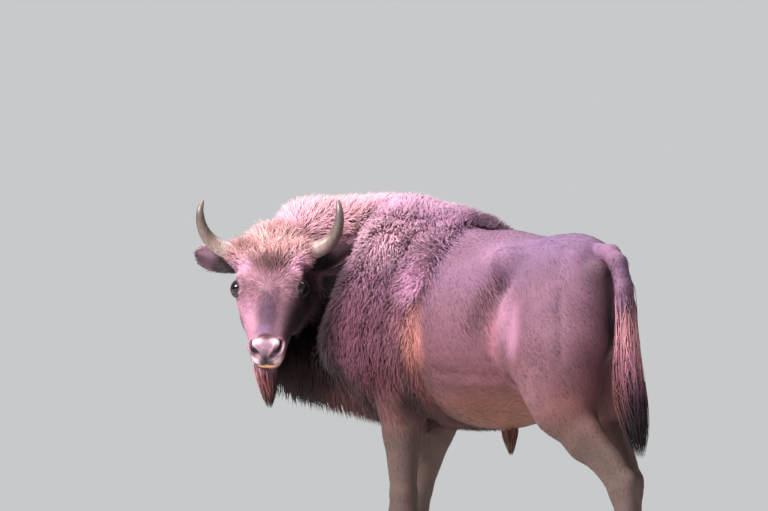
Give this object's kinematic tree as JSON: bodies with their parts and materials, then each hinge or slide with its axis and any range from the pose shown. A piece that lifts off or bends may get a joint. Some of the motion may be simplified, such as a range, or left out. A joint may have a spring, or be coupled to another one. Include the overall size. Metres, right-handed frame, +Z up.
{
  "type": "wisent",
  "caption": "Life-size standing wisent looking back over its left shoulder: horned head with beard, maned hump, barrel, tail and walking legs on hooves.",
  "frame": {"origin": "middle of the model's box, on the floor under the hooves", "axes": "+Z up; the chest points along -X, so +X runs towards the tail; +Y is the animal's right side"},
  "size_m": [2.1429, 0.9476, 1.5903],
  "materials": {
    "coat": "short dense hair, longer and curly on the hump, neck and forehead",
    "long_hair": "long dark hair in locks",
    "muzzle": "short hair around a bare, moist nose pad",
    "horn": "satin horn, ringed at the base and dark at the tip",
    "hoof": "dull horn",
    "eye": "wet gloss"
  },
  "bodies": {
    "root": {"neck": "coat", "forequarters": "coat", "barrel": "coat", "rump": "coat", "thigh_left": "coat", "thigh_right": "coat", "front_left_forearm": "coat", "front_left_cannon": "coat", "front_left_pastern": "coat", "front_left_dewclaw_left": "hoof", "front_left_dewclaw_right": "hoof", "front_left_hoof_left": "hoof", "front_left_hoof_right": "hoof", "front_right_forearm": "coat", "front_right_cannon": "coat", "front_right_pastern": "coat", "front_right_dewclaw_left": "hoof", "front_right_dewclaw_right": "hoof", "front_right_hoof_left": "hoof", "front_right_hoof_right": "hoof", "hind_left_shank": "coat", "hind_left_cannon": "coat", "hind_left_pastern": "coat", "hind_left_dewclaw_left": "hoof", "hind_left_dewclaw_right": "hoof", "hind_left_hoof_left": "hoof", "hind_left_hoof_right": "hoof", "hind_right_shank": "coat", "hind_right_cannon": "coat", "hind_right_pastern": "coat", "hind_right_dewclaw_left": "hoof", "hind_right_dewclaw_right": "hoof", "hind_right_hoof_left": "hoof", "hind_right_hoof_right": "hoof", "horn_left": "horn", "ear_left": "coat", "eye_left": "eye", "horn_right": "horn", "ear_right": "coat", "eye_right": "eye", "beard": "long_hair", "lower_jaw": "coat", "muzzle": "muzzle", "head": "coat", "tail": "coat", "tail_tuft": "long_hair", "prepuce": "long_hair"}
  },
  "joints": []
}
